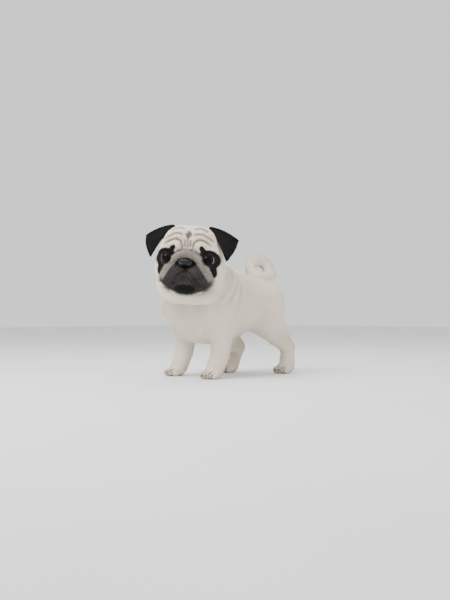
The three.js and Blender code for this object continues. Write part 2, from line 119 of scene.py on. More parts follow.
def strand(count, start, end, point, radius):
    """Limbs along a curve, given as a point and a radius for each t from start to end."""
    ts = [start + (end - start) * i / count for i in range(count + 1)]
    return join(SEAMLESS, *(limb(point(a), radius(a), point(b), radius(b)) for a, b in zip(ts, ts[1:])))


# Head, in its own frame: x to the dog's left, -y out of the face, z up
HEAD_AT = np.array((37.0, -143.0, 262.0))
HEAD_SCALE = 1.1  # the sizes below are for a head 142 mm wide
HEAD_YAW = 41
HEAD_PITCH = 3
HEAD_ROLL = 4
EYE_RADIUS = 13
EYE_AT = (39.5, -43, 2.5)
EYE_OUT = 18  # degrees that each eye looks outwards
LID_THICKNESS = 2.8


def turn(axis, degrees):
    c, s = math.cos(math.radians(degrees)), math.sin(math.radians(degrees))
    m = np.eye(3)
    i, j = [(1, 2), (2, 0), (0, 1)][axis]
    m[i, i] = m[j, j] = c
    m[i, j] = -s
    m[j, i] = s
    return m


HEAD_TURN = turn(2, HEAD_YAW) @ turn(0, HEAD_PITCH) @ turn(1, HEAD_ROLL)


def to_head(points):
    return (points - HEAD_AT) @ HEAD_TURN / HEAD_SCALE


def out_of_head(points):
    return HEAD_SCALE * points @ HEAD_TURN.T + HEAD_AT


def head_xyz(x, y, z):
    """The same as to_head, for grids."""
    m = HEAD_TURN / HEAD_SCALE
    px, py, pz = x - HEAD_AT[0], y - HEAD_AT[1], z - HEAD_AT[2]
    return [m[0, i] * px + m[1, i] * py + m[2, i] * pz for i in range(3)]


def in_head(field):
    return lambda x, y, z: HEAD_SCALE * field(*head_xyz(x, y, z))


skull = join(18, loaf((0, 4, 14), (57, 54, 51), 42), loaf((0, -14, 24), (47, 37, 39), 30))
cheeks = join(14, *both(lambda s: egg((s * 41, -6, -17), (29.5, 42, 37))))
brows = join(8, *both(lambda s: egg((s * 34, -38, 18), (24, 16, 16))))


def throat_point(t):
    """The fold under the jaw, from cheek to cheek, with a slight wave in it."""
    return (54 * math.sin(1.5 * t), 46 * t * t - 40, 28 * abs(t) ** 2.6 - 74 + 1.2 * math.cos(9 * t))


throat_fold = strand(16, -1, 1, throat_point, lambda t: 12.5)
jaw = join(12, *both(lambda s: limb((0, -32, -46), 23, (s * 29, 2, -36), 26)), throat_fold)
lips = join(
    4,
    *both(lambda s: egg((s * 17, -60, -25), (18, 16, 19))),
    *both(lambda s: limb((s * 20, -58, -26), 16, (s * 36, -43, -36), 16)),
)
chin = join(6, egg((0, -54, -47), (22, 18, 14)), egg((0, -42, -50), (35, 24, 15)))
muzzle_core = egg((0, -40, -20), (46, 26, 26))


def roll_point(t):
    """The fold over the nose, an arch from cheek to cheek."""
    return (51 * t, 26 * t * t - 66, 12.6 - 53 * abs(t) ** 1.9)


nose_roll = strand(20, -1, 1, roll_point, lambda t: 8.8 - 3 * abs(t))
nose_pad = join(
    3.5,
    egg((0, -70, -3), (12.4, 8.5, 7.6)),
    *both(lambda s: egg((s * 7.6, -70.5, -6), (7, 8, 6.4))),
)
nostrils = join(1, *both(lambda s: limb((s * 7.2, -79, -5.5), 2.8, (s * 13.5, -75, -3.3), 1.4)))
lids = join(6, *both(lambda s: egg((s * EYE_AT[0], EYE_AT[1], EYE_AT[2]), [EYE_RADIUS + LID_THICKNESS] * 3)))

LIDS_OPEN_WIDE = math.sin(math.radians(60))
LIDS_OPEN_HIGH = math.sin(math.radians(52))
LIDS_REACH = 12


def eye_opening(side):
    """The opening between the lids: an oval cone from the eyeball outwards."""
    c, s = math.cos(math.radians(EYE_OUT)), math.sin(math.radians(EYE_OUT))

    def field(x, y, z):
        px, py, pz = x * side - EYE_AT[0], y - EYE_AT[1], z - EYE_AT[2]
        r = np.sqrt(px * px + py * py + pz * pz) + 1e-6
        across = (px * c + py * s) / r / LIDS_OPEN_WIDE
        up = pz / r / LIDS_OPEN_HIGH
        ahead = px * s - py * c
        rim = np.where(ahead > 0, (np.sqrt(across * across + up * up) - 1) * EYE_RADIUS * 0.8, EYE_RADIUS)
        return np.maximum(np.maximum(rim, EYE_RADIUS - 1 - r), r - EYE_RADIUS - LIDS_REACH)

    return field


openings = both(eye_opening)


# Folds and creases of the face, drawn on its plane
def bell(distance, width):
    """1 at a distance of 0, falling to 0 on both sides."""
    return np.exp(-((distance / width) ** 2))


def off_line(points, x, z):
    """Distance to a line of points, and how far along it, from 0 to 1."""
    best = np.full(np.shape(x), 1e9)
    along = np.zeros(np.shape(x))
    spans = [math.hypot(b[0] - a[0], b[1] - a[1]) for a, b in zip(points, points[1:])]
    done = 0.0
    for a, b, span in zip(points, points[1:], spans):
        dx, dz = b[0] - a[0], b[1] - a[1]
        t = np.clip(((x - a[0]) * dx + (z - a[1]) * dz) / (span * span), 0, 1)
        d = np.hypot(x - a[0] - dx * t, z - a[1] - dz * t)
        near = d < best
        best = np.where(near, d, best)
        along = np.where(near, (done + t * span) / sum(spans), along)
        done += span
    return best, along


def stroke(points, width, x, z):
    """1 on a line of points, falling to 0 beside it and over its first and last sixth."""
    d, along = off_line(points, x, z)
    from_ends = np.clip(np.minimum(along, 1 - along) * 6, 0, 1) ** 0.5
    return from_ends * bell(d, width)


# Each is a line of (x, z) points for one side, with its depth or height and its width
BROW_CREASES = [
    ([(4, 22), (5.5, 30), (5, 40)], 2.6, 2.2),
    ([(11, 16), (10, 26), (14, 36), (23, 40), (35, 36), (48, 26)], 3.8, 2.5),
    ([(8, 46), (16, 50), (26, 50), (38, 44), (50, 36)], 3.2, 2.5),
    ([(7, 59), (17, 62), (28, 60), (38, 54)], 2.2, 2.4),
]
BROW_RIDGES = [
    ([(16, 20), (20, 29), (28, 32), (40, 27), (52, 16)], 3.0, 6),
    ([(10, 40), (17, 45), (28, 46), (40, 40), (52, 31)], 2.8, 5),
    ([(6, 53), (16, 56), (30, 55), (44, 48)], 2.4, 5),
]
FURROW = ([(0, 20), (0, 36), (0, 50)], 3.0, 2.6)
PHILTRUM = ([(0, -11), (0, -22)], 3.0, 1.6)
MOUTH = ([(0, -21), (9, -25), (17, -34), (24, -46)], 5.5, 2.2)
FACE_FULL_DEPTH = 30  # the folds fade out towards the head's sides over this depth


def face_detail(x, y, z):
    """How far the folds stand out, and the creases lie in."""
    ax = np.abs(x)
    h = 0
    for points, depth, width in BROW_CREASES + [MOUTH]:
        h = h - depth * stroke(points, width, ax, z)
    for points, height, width in BROW_RIDGES:
        h = h + height * stroke(points, width, ax, z)
    for points, depth, width in (FURROW, PHILTRUM):
        h = h - depth * stroke(points, width, x, z)
    return h * np.clip(-y / FACE_FULL_DEPTH, 0, 1)


def plain_head(x, y, z):
    """What the ears lie on."""
    d = melt(skull(x, y, z), cheeks(x, y, z), 24)
    return melt(d, brows(x, y, z), 12)


def head_shape(x, y, z):
    """Each part melts into the ones before it, over its own distance."""
    d = melt(skull(x, y, z), cheeks(x, y, z), 24)
    d = melt(d, jaw(x, y, z), 14)
    d = melt(d, brows(x, y, z), 12)
    d = melt(d, muzzle_core(x, y, z), 12)
    d = melt(d, lids(x, y, z), 7)
    d = melt(d, melt(lips(x, y, z), chin(x, y, z), 3), 6)
    d = melt(d, nose_roll(x, y, z), 4)
    return melt(d, nose_pad(x, y, z), 2.5)


def cut_head(d, x, y, z):
    """Folds, nostrils and the openings of the lids."""
    d = -melt(-d, nostrils(x, y, z), 1.5)
    d = d - face_detail(x, y, z)
    for opening in openings:
        d = np.maximum(d, -opening(x, y, z))
    return d


# Trunk, neck and legs
trunk = join(
    38,
    egg((0, -45, 162), (79, 98, 89)),
    egg((0, -103, 155), (62, 50, 64)),
    egg((0, 46, 173), (69, 84, 69)),
    egg((0, 80, 179), (68, 54, 65)),
)
neck = join(
    24,
    limb((0, -64, 195), 62, (12, -106, 251), 46),
    limb((4, -96, 185), 56, (22, -122, 223), 52),
)


def foreleg(s):
    shoulder = (s * 57, -100, 159)
    wrist = (s * 62, -78, 52)
    blade = limb((s * 44, -56, 213), 36, shoulder, 37)
    upper = join(16, blade, limb(shoulder, 37, (s * 61, -68, 116), 30))
    forearm = limb((s * 61, -68, 118), 28.5, wrist, 21.5)
    return join(10, upper, join(3, forearm, limb(wrist, 21.5, (s * 62, -90, 25), 20.5)))


HIND_JOINTS = [  # hip, knee, hock and heel; the left foot stands further back
    ((44, 82, 173), (60, 84, 115), (58, 150, 64), (57, 152, 25)),
    ((-44, 76, 173), (-59, 40, 116), (-58, 94, 62), (-57, 76, 25)),
]


def hindleg(hip, knee, hock, heel):
    seat = (hip[0] * 0.9, hip[1] + 16, hip[2] - 12)
    behind_knee = tuple(k + (h - k) * 0.45 for k, h in zip(knee, hock))
    thigh = join(20, limb(hip, 46, knee, 32), limb(seat, 36, behind_knee, 25))
    return join(6, thigh, limb(knee, 31, hock, 18), limb(hock, 18, heel, 18))


PAWS = {  # the middle of the toes on the floor, and how far the paw turns outwards
    "forepaw_left": ((63, -104), 8),
    "forepaw_right": ((-63, -104), -8),
    "hindpaw_left": ((57, 138), 4),
    "hindpaw_right": ((-57, 60), -6),
}
PAW_HALF_WIDTH = 22
TOE_RADIUS = 9.6
TOES = (-1, -0.36, 0.36, 1)
TOE_SPREAD = 0.68  # how far out the outer toes lie, as a share of the half width


def toe_tip(share):
    return (share * PAW_HALF_WIDTH * TOE_SPREAD, 8 * share * share - 16, TOE_RADIUS - 1.2)


def to_paw(at, out, x, y):
    """A place on the floor, in a paw's own frame."""
    c, s = math.cos(math.radians(out)), math.sin(math.radians(out))
    px, py = x - at[0], y - at[1]
    return c * px + s * py, -s * px + c * py


def paw_field(at, out):
    toes = []
    for share in TOES:
        x, y, z = toe_tip(share)
        toes.append(limb((x, y, z), TOE_RADIUS, (x * 0.75, y + 20, z + 6), TOE_RADIUS))
    foot = join(
        4,
        join(1.2, *toes),
        egg((0, 6, 14), (PAW_HALF_WIDTH - 1, 20, 15)),
        limb((0, 8, 16), 17, (0, 12, 30), 18),
    )
    return lambda x, y, z: foot(*to_paw(at, out, x, y), z)


# Tail: a ring that leans on the left hip, its tip tucked beside the root
TAIL_RING = 26.5  # radius of its middle line
TAIL_AT = np.array((31.0, 80.0, 246.5))
TAIL_THICK = 16
TAIL_THIN = 10.5
TAIL_START = -62  # degrees round the ring, from straight back
TAIL_END = 292
tail_normal = np.array((0.85, -0.4, 0.34)) / np.linalg.norm((0.85, -0.4, 0.34))
tail_up = np.array((0, 0, 1.0)) - tail_normal * tail_normal[2]
tail_up /= np.linalg.norm(tail_up)
tail_back = -np.cross(tail_normal, tail_up)


def tail_point(t):
    angle = math.radians(TAIL_START + (TAIL_END - TAIL_START) * t)
    ring = TAIL_RING + 1.5 - 6 * t  # winds inwards
    aside = 24 * t**1.6 - 3  # and outwards from the back
    across = tail_back * math.cos(angle) + tail_up * math.sin(angle)
    return tuple(TAIL_AT + across * ring + tail_normal * aside)


def tail_radius(t):
    return TAIL_THICK + (TAIL_THIN - TAIL_THICK) * t**1.5


tail_root = limb((6, 100, 205), 26, tail_point(0), TAIL_THICK + 1.5)
tail = strand(21, 0, 1, tail_point, tail_radius)
forelegs = both(foreleg)
hindlegs = [hindleg(*joints) for joints in HIND_JOINTS]
paws = [paw_field(at, out) for at, out in PAWS.values()]

# Folds over the neck and shoulder: rings round the middle of the head, with their heights
NECK_FOLDS = [(103, 3.5), (121, 2.9), (143, 1.7)]
NECK_FOLD_WIDTH = 6
NECK_CREASE_WIDTH = 2.6
NECK_CREASE_AFTER = 9  # from the middle of a fold to the crease behind it
NECK_RING_FLATTEN = 0.8
NECK_FOLDS_AHEAD = 12  # how far in front of the head's middle they start
NECK_FOLDS_LOW = 138  # and at what height


def off_head_rings(x, y, z):
    """Distance from the head's middle, and where on the body the folds show."""
    px, py, pz = x - HEAD_AT[0], y - HEAD_AT[1], z - HEAD_AT[2]
    r = np.sqrt(px * px + py * py + (pz * NECK_RING_FLATTEN) ** 2)
    r = r + 2.6 * np.sin(z / 17 + x / 29) + 1.6 * np.sin(x / 11 - z / 23)  # so no fold is a true ring
    return r, np.clip((py + NECK_FOLDS_AHEAD) / 30, 0, 1) * np.clip((z - NECK_FOLDS_LOW) / 45, 0, 1)


# Painted shade in the creases behind the neck folds
def neck_crease_shade(x, y, z):
    r, shows = off_head_rings(x, y, z)
    lines = [bell(r - radius - NECK_CREASE_AFTER, NECK_CREASE_WIDTH) for radius, _ in NECK_FOLDS]
    return np.maximum.reduce(lines) * shows


def neck_detail(x, y, z):
    r, shows = off_head_rings(x, y, z)
    h = 0
    for radius, height in NECK_FOLDS:
        h = h + height * bell(r - radius, NECK_FOLD_WIDTH)
        h = h - height * bell(r - radius - NECK_CREASE_AFTER, NECK_CREASE_WIDTH)
    return h * shows


def body_shape(x, y, z):
    d = melt(trunk(x, y, z), neck(x, y, z), 30)
    for leg in forelegs:
        d = melt(d, leg(x, y, z), 16)
    for leg in hindlegs:
        d = melt(d, leg(x, y, z), 32)
    d = melt(d, tail_root(x, y, z), 18)
    d = melt(d, tail(x, y, z), 2.5)
    for paw in paws:
        d = melt(d, paw(x, y, z), 5)
    return d


BODY_COAT = 1.6  # depth of the coat over the skin
FACE_COAT = 0.6
COAT_DEEPENS = 40  # from the one to the other over this distance from the head
HEAD_MELTS = 7
SOLE = 0.3  # height of the pads over the floor
head_field = in_head(head_shape)


def skin_field(x, y, z, detailed=True):
    head = head_field(x, y, z)
    depth = FACE_COAT + (BODY_COAT - FACE_COAT) * np.clip(head / COAT_DEEPENS, 0, 1)
    d = melt(body_shape(x, y, z), head, HEAD_MELTS)
    if detailed:
        d = cut_head(d / HEAD_SCALE, *head_xyz(x, y, z)) * HEAD_SCALE
        d = d - neck_detail(x, y, z)
    return np.maximum(d + depth, SOLE - z)


def smooth_skin_field(x, y, z):
    return skin_field(x, y, z, detailed=False)


# Meshing: one point in each grid cell that the surface passes, and one square over each
# grid edge that it crosses
CORNERS = [(i, j, k) for i in (0, 1) for j in (0, 1) for k in (0, 1)]


def grid_values(field, low, high, step):
    count = [int(math.ceil((h - l) / step)) + 1 for l, h in zip(low, high)]
    axes = [l + step * np.arange(n, dtype=np.float32) for l, n in zip(low, count)]
    value = np.empty(count, dtype=np.float32)
    y, z = np.meshgrid(axes[1], axes[2], indexing="ij")
    for i, x in enumerate(axes[0]):
        value[i] = field(np.full_like(y, x), y, z)
    value[value == 0] = 1e-5
    return value


def surface_nets(value, low, step):
    inside = value < 0
    last = [n - 1 for n in value.shape]
    count = sum(
        inside[i : last[0] + i, j : last[1] + j, k : last[2] + k].astype(np.int8) for i, j, k in CORNERS
    )
    cells = np.argwhere((count > 0) & (count < 8))
    ident = np.full(count.shape, -1, dtype=np.int64)
    ident[tuple(cells.T)] = np.arange(len(cells))
    at = {c: value[tuple((cells + c).T)] for c in CORNERS}
    total = np.zeros((len(cells), 3))
    crossed = np.zeros(len(cells))
    for a in CORNERS:
        for axis in range(3):
            if a[axis]:
                continue
            b = tuple(v + (q == axis) for q, v in enumerate(a))
            hit = (at[a] < 0) != (at[b] < 0)
            place = np.tile(np.array(a, dtype=float), (len(cells), 1))
            place[:, axis] += at[a] / (at[a] - at[b] + (at[a] == at[b]))
            total += place * hit[:, None]
            crossed += hit
    points = np.array(low) + step * (cells + total / crossed[:, None])
    steps = np.eye(3, dtype=int)
    quads = []
    for axis in range(3):
        b, c = steps[(axis + 1) % 3], steps[(axis + 2) % 3]
        lower = tuple(slice(None, -1) if q == axis else slice(None) for q in range(3))
        upper = tuple(slice(1, None) if q == axis else slice(None) for q in range(3))
        edges = np.argwhere(inside[lower] != inside[upper])
        ring = np.stack([ident[tuple((edges - o).T)] for o in (0 * b, b, b + c, c)], axis=1)
        outwards = inside[tuple(edges.T)]
        ring[~outwards] = ring[~outwards][:, ::-1]
        quads.append(ring)
    return points, np.concatenate(quads)


def triangles_of(quads):
    return np.concatenate([quads[:, [0, 1, 2]], quads[:, [0, 2, 3]]])


def gradient(field, p, e=0.05):
    """The field at each point, and its slope there."""
    x, y, z = p.T
    d = field(x, y, z)
    return d, np.stack([field(x + e, y, z) - d, field(x, y + e, z) - d, field(x, y, z + e) - d], axis=1) / e


def settle(field, p, most, rounds=1):
    """Moves points onto the surface, by at most so far a round."""
    for _ in range(rounds):
        d, g = gradient(field, p)
        steep = np.maximum((g**2).sum(1), 0.2)
        p = p - g * (np.clip(d, -most, most) / steep)[:, None]
    return p


def relax(points, edges, share=0.5):
    """Moves each point towards the middle of its neighbours."""
    total = np.zeros_like(points)
    ends = np.concatenate([edges, edges[:, ::-1]])
    n = np.bincount(ends[:, 0], minlength=len(points))
    for axis in range(3):
        total[:, axis] = np.bincount(ends[:, 0], points[ends[:, 1], axis], len(points))
    return points + (total / np.maximum(n, 1)[:, None] - points) * share


def edges_of(faces):
    pairs = np.concatenate([faces[:, [i, (i + 1) % faces.shape[1]]] for i in range(faces.shape[1])])
    return np.unique(np.sort(pairs, axis=1), axis=0)


def split_edges(points, faces, wanted):
    """Cuts in two each edge with both ends wanted, and divides the triangles round it."""
    edges = edges_of(faces)
    edges = edges[wanted[edges].all(axis=1)]
    key = edges[:, 0] * len(points) + edges[:, 1]
    middle = len(points) + np.arange(len(edges))
    place = np.argsort(key)

    def midpoint(a, b):
        k = np.minimum(a, b) * len(points) + np.maximum(a, b)
        at = np.clip(np.searchsorted(key[place], k), 0, len(key) - 1)
        found = key[place][at] == k
        return np.where(found, middle[place][at], -1)

    a, b, c = faces.T
    ab, bc, ca = midpoint(a, b), midpoint(b, c), midpoint(c, a)
    cuts = (ab >= 0).astype(int) + (bc >= 0) + (ca >= 0)
    out = [faces[cuts == 0]]  # no triangle has two cuts
    for ring in ((a, ab, ca), (ab, b, bc), (ca, bc, c), (ab, bc, ca)):
        out.append(np.stack(ring, axis=1)[cuts == 3])
    for p, q, r, pq in ((a, b, c, ab), (b, c, a, bc), (c, a, b, ca)):
        alone = (cuts == 1) & (pq >= 0)
        out.append(np.stack((p, pq, r), axis=1)[alone])
        out.append(np.stack((pq, q, r), axis=1)[alone])
    return np.concatenate([points, points[edges].mean(axis=1)]), np.concatenate(out)


BODY_STEP = 3.3
SKIN_LOW = (-124, -238, -5)
SKIN_HIGH = (140, 182, 350)
HEAD_REGION = (22, 90)  # depth and half width of what is divided once
FACE_REGION = (-33, 62)  # and of what is divided twice
HEAD_REGION_LOW = -88
PAW_REGION_TOP = 26


def near_face(points, most_y, reach):
    """Points of the head's skin in front of a depth in the head's frame."""
    x, y, z = to_head(points).T
    return (y < most_y) & (np.abs(x) < reach) & (z > HEAD_REGION_LOW)


def make_skin_shape():
    value = grid_values(smooth_skin_field, SKIN_LOW, SKIN_HIGH, BODY_STEP)
    points, quads = surface_nets(value, SKIN_LOW, BODY_STEP)
    edges = edges_of(quads)
    for _ in range(2):
        points = settle(smooth_skin_field, relax(points, edges), BODY_STEP / 2)
    wanted = near_face(points, *HEAD_REGION) | (points[:, 2] < PAW_REGION_TOP)
    points, faces = split_edges(points, triangles_of(quads), wanted)
    points, faces = split_edges(points, faces, near_face(points, *FACE_REGION))
    edges = edges_of(faces)
    points = settle(skin_field, points, 3, rounds=2)
    for _ in range(2):
        points = settle(skin_field, relax(points, edges), 1)
    return points, faces


# Ears: a folded sheet from its base up to a crest, then hanging forwards to its tip
EAR_THICKNESS = 3.2
EAR_BASE = ((33, -8, 56), (60, 26, 40))  # inner end, outer end
EAR_CREST = ((36, -12, 68), (93, 3, 45))
EAR_TIP = (76, -33, 5)
EAR_ROUND_TIP = (1.8, 1.8, 0.4)
EAR_FOLD = 0.3  # share of the sheet that lies behind the crest
EAR_CREST_BULGE = (0, 0, 4)
EAR_BACK_BULGE = (0, 3, 2)
EAR_FLAP_BULGE = (1.75, -4.0, 1.25)
EAR_OUTER_BULGE = (2, 0.2, -0.4)
EAR_CLEARANCE = 0.6
EAR_CELLS = (44, 66)


def ear_sheet(side):
    """The middle of the ear, by u across it and v from the base over the crest to the tip."""
    u, v = np.meshgrid(*(np.linspace(0, 1, n + 1) for n in EAR_CELLS), indexing="ij")
    u, v = u[..., None], v[..., None]

    def across(ends):
        return np.array(ends[0]) * (1 - u) + np.array(ends[1]) * u

    crest = across(EAR_CREST) + np.array(EAR_CREST_BULGE) * np.sin(math.pi * u)
    hem = np.array(EAR_TIP) + np.array(EAR_ROUND_TIP) * (2 * u - 1)
    t = np.clip(v / EAR_FOLD, 0, 1)
    behind = across(EAR_BASE) * (1 - t) + crest * t + np.array(EAR_BACK_BULGE) * np.sin(math.pi * t)
    t = np.clip((v - EAR_FOLD) / (1 - EAR_FOLD), 0, 1)
    swell = np.sin(math.pi * t)
    flap = crest * (1 - t) + hem * t + np.array(EAR_FLAP_BULGE) * swell**0.8
    flap = flap + np.array(EAR_OUTER_BULGE) * swell * u * u
    sheet = np.where(v < EAR_FOLD, behind, flap)
    for _ in range(3):
        total = sheet[1:-1, 1:-1] * 2 + sheet[:-2, 1:-1] + sheet[2:, 1:-1]
        sheet[1:-1, 1:-1] = (total + sheet[1:-1, :-2] + sheet[1:-1, 2:]) / 6
    sheet[..., 0] *= side
    flat = sheet.reshape(-1, 3)
    for _ in range(6):  # out of the head, where it would pass through
        d, g = gradient(plain_head, flat)
        short = np.clip(EAR_THICKNESS / 2 + EAR_CLEARANCE - d, 0, 40)
        flat = flat + g / np.maximum(np.linalg.norm(g, axis=1), 0.3)[:, None] * short[:, None]
    return flat.reshape(sheet.shape)


def ear_shape(side):
    """Points, faces and the way down the flap at each point."""
    sheet = ear_sheet(side)
    nu, nv = sheet.shape[:2]
    down = np.gradient(sheet, axis=1)
    normal = unit(np.cross(np.gradient(sheet, axis=0), down)) * side
    u = np.linspace(-1, 1, nu)[:, None]
    v = np.linspace(0, 1, nv)[None, :]
    thick = EAR_THICKNESS / 2 * np.sqrt(np.clip(1 - u**8, 0.02, 1)) * np.sqrt(np.clip(1 - v**30, 0.02, 1))
    offset = normal * thick[..., None]
    points = np.concatenate([(sheet + offset).reshape(-1, 3), (sheet - offset).reshape(-1, 3)])
    ids = np.arange(nu * nv).reshape(nu, nv)
    front = np.stack([ids[:-1, :-1], ids[1:, :-1], ids[1:, 1:], ids[:-1, 1:]], axis=-1).reshape(-1, 4)
    rim = np.concatenate([ids[:-1, 0], ids[-1, :-1], ids[:0:-1, -1], ids[0, :0:-1]])
    ahead = np.roll(rim, -1)
    seam = np.stack([ahead, rim, rim + nu * nv, ahead + nu * nv], axis=1)
    if side < 0:
        front, seam = front[:, ::-1], seam[:, ::-1]
    faces = triangles_of(np.concatenate([front, front[:, ::-1] + nu * nv, seam]))
    return out_of_head(points), faces, np.tile(down.reshape(-1, 3), (2, 1)) @ HEAD_TURN.T


# Markings, with painted shade in the creases and between the toes: 0 is the pale coat, 1 is black
def soft_step(low, high, value):
    t = np.clip((value - low) / (high - low), 0, 1)
    return t * t * (3 - 2 * t)


def fade(low, high, value):
    return 1 - soft_step(low, high, value)


def oval(x, z, centre, radii, edge):
    """1 inside an oval on the face's plane, 0 outside, over a soft edge."""
    r = np.hypot((x - centre[0]) / radii[0], (z - centre[1]) / radii[1])
    return fade(1 - edge, 1 + edge, r)


ROLL_DARK = 0.44
MUZZLE_DARK = 0.79
EYE_PATCH_DARK = 0.97
EAR_DARK = 0.98
DIAMOND_DARK = 0.5
# Painted shade in the creases of the neck
NECK_CREASE_PAINTED_SHADE = 0.16
# Painted shade in the brow creases and the furrow, and the width of that shade in the furrow
CREASE_PAINTED_SHADE = 0.42
FURROW_SHADE_WIDTH = 2.2
MOUTH_DARK_WIDTH = 3.0
# Painted shade in the gaps between the toes
TOE_GAP_PAINTED_SHADE = 0.5
# Ovals on the face's plane: centre, radii and softness
MUZZLE_OVALS = [((0, -20), (44, 40), 0.1), ((0, -38), (53, 27), 0.12)]
CHIN_OVAL = ((0, -55), (27, 12), 0.42)
NOSE_OVAL = ((0, -4), (24, 13), 0.25)
EYE_OVAL = ((41, 2), (22, 19), 0.1)
DIAMOND_AT = 48
DIAMOND_HALF = (8, 10)  # across and up
ROLL_LINE = [(roll_point(t / 10)[0], roll_point(t / 10)[2]) for t in range(11)]
EYE_CORNER = [(40, 6), (33, 13), (27, 23)]
EYE_UNDER = [(40, 0), (44, -10), (46, -22)]


# The face's markings, with painted shade in its creases
def face_marks_and_shade(x, y, z):
    ax = np.abs(x)
    front = fade(-34, -14, y)
    muzzle = np.maximum(*(oval(ax, z, *one) for one in MUZZLE_OVALS))
    dark = MUZZLE_DARK * muzzle
    for one in (CHIN_OVAL, NOSE_OVAL):
        dark = np.maximum(dark, oval(ax, z, *one))
    off_roll, along = off_line(ROLL_LINE, ax, z)
    roll_half_width = 8.5 - 3.5 * along
    on_roll = fade(-1.5, 2.5, off_roll - roll_half_width) * fade(0.9, 1.0, along)
    dark = (dark * (1 - on_roll) + on_roll * ROLL_DARK) * front
    off_corner, along = off_line(EYE_CORNER, ax, z)
    under, _ = off_line(EYE_UNDER, ax, z)
    patch = np.maximum(oval(ax, z, *EYE_OVAL), fade(3.5, 6, off_corner - 4 * (1 - along)))
    patch = np.maximum(patch, fade(11, 13.5, under)) * (1 - on_roll)
    dark = np.maximum(dark, EYE_PATCH_DARK * patch * front)
    off_diamond = ax / DIAMOND_HALF[0] + np.abs(z - DIAMOND_AT) / DIAMOND_HALF[1]
    dark = np.maximum(dark, DIAMOND_DARK * fade(0.8, 1.15, off_diamond) * front)
    # Painted shade in the brow creases and the furrow between the brows
    for line, _, width in BROW_CREASES:
        dark = np.maximum(dark, CREASE_PAINTED_SHADE * stroke(line, width * 1.1, ax, z) * front)
    dark = np.maximum(dark, CREASE_PAINTED_SHADE * stroke(FURROW[0], FURROW_SHADE_WIDTH, x, z) * front)
    for line in (MOUTH[0], PHILTRUM[0]):
        dark = np.maximum(dark, stroke(line, MOUTH_DARK_WIDTH, ax, z) * front)
    return dark


# The markings, with painted shade in the creases of the face and the neck
def marks_and_shade(points):
    on_head = fade(2, 10, head_field(*points.T))
    face = face_marks_and_shade(*to_head(points).T) * on_head
    return np.maximum(face, NECK_CREASE_PAINTED_SHADE * neck_crease_shade(*points.T))


def toe_gap_shade(points):
    """Painted shade in the gaps between the toes."""
    dark = np.zeros(len(points))
    for at, out in PAWS.values():
        x, y = to_paw(at, out, points[:, 0], points[:, 1])
        for a, b in zip(TOES, TOES[1:]):
            line = (a + b) / 2 * PAW_HALF_WIDTH * TOE_SPREAD
            on = bell(x - line, 1.5) * (np.abs(y + 18) < 16) * fade(15, 21, points[:, 2])
            dark = np.maximum(dark, TOE_GAP_PAINTED_SHADE * on)
    return dark


# Meshes
def make_mesh(name, points, faces, smooth=True):
    mesh = bpy.data.meshes.new(name)
    mesh.vertices.add(len(points))
    mesh.vertices.foreach_set("co", ((points + CENTRE) * MM).astype(np.float32).ravel())
    size = faces.shape[1]
    mesh.loops.add(faces.size)
    mesh.loops.foreach_set("vertex_index", faces.astype(np.int32).ravel())
    mesh.polygons.add(len(faces))
    mesh.polygons.foreach_set("loop_start", np.arange(0, faces.size, size, dtype=np.int32))
    mesh.polygons.foreach_set("loop_total", np.full(len(faces), size, dtype=np.int32))
    mesh.polygons.foreach_set("use_smooth", np.full(len(faces), smooth))
    mesh.update(calc_edges=True)
    mesh.validate()
    obj = bpy.data.objects.new(name, mesh)
    bpy.context.scene.collection.objects.link(obj)
    return obj


def add_value(obj, name, values):
    """A number at each point, for the materials to read."""
    attribute = obj.data.attributes.new(name, "FLOAT", "POINT")
    attribute.data.foreach_set("value", values.astype(np.float32))


def normals_of(points, faces):
    """The normal at each point, and each triangle's area."""
    a, b, c = (points[faces[:, i]] for i in range(3))
    face = np.cross(b - a, c - a)
    out = np.zeros_like(points)
    for i in range(3):
        for axis in range(3):
            out[:, axis] += np.bincount(faces[:, i], face[:, axis], len(points))
    return unit(out), np.linalg.norm(face, axis=1) / 2


# Materials
def new_material(name, roughness, specular=0.5):
    material = bpy.data.materials.new(name)
    material.use_nodes = True
    shader = material.node_tree.nodes["Principled BSDF"]
    shader.inputs["Roughness"].default_value = roughness
    shader.inputs["Specular IOR Level"].default_value = specular
    return material, material.node_tree, shader


def value_node(tree, name):
    node = tree.nodes.new("ShaderNodeAttribute")
    node.attribute_name = name
    return node.outputs["Fac"]


def noise(tree, scale, detail=3):
    place = tree.nodes.new("ShaderNodeTexCoord")
    node = tree.nodes.new("ShaderNodeTexNoise")
    node.inputs["Scale"].default_value = scale
    node.inputs["Detail"].default_value = detail
    tree.links.new(place.outputs["Object"], node.inputs["Vector"])
    return node.outputs["Fac"]


def calc(tree, operation, a, b):
    node = tree.nodes.new("ShaderNodeMath")
    node.operation = operation
    for socket, value in zip(node.inputs, (a, b)):
        if isinstance(value, (int, float)):
            socket.default_value = value
        else:
            tree.links.new(value, socket)
    return node.outputs[0]


def ramp(tree, value, stops):
    node = tree.nodes.new("ShaderNodeValToRGB")
    while len(node.color_ramp.elements) < len(stops):
        node.color_ramp.elements.new(0.5)
    for element, (at, colour) in zip(node.color_ramp.elements, stops):
        element.position = at
        element.color = (*colour, 1)
    tree.links.new(value, node.inputs["Fac"])
    return node.outputs["Color"]


def wobble(tree, scale, most, detail=3):
    """A change of tone over the surface, to both sides of 0."""
    return calc(tree, "MULTIPLY", calc(tree, "SUBTRACT", noise(tree, scale, detail), 0.5), most)


def mottle(tree, shader, scale, dark, light):
    """A colour that varies a little between two."""
    colour = ramp(tree, noise(tree, scale), [(0.3, dark), (0.7, light)])
    tree.links.new(colour, shader.inputs["Base Color"])


def add_bump(tree, shader, height, distance, strength=1.0):
    node = tree.nodes.new("ShaderNodeBump")
    node.inputs["Distance"].default_value = distance
    node.inputs["Strength"].default_value = strength
    tree.links.new(height, node.inputs["Height"])
    tree.links.new(node.outputs["Normal"], shader.inputs["Normal"])
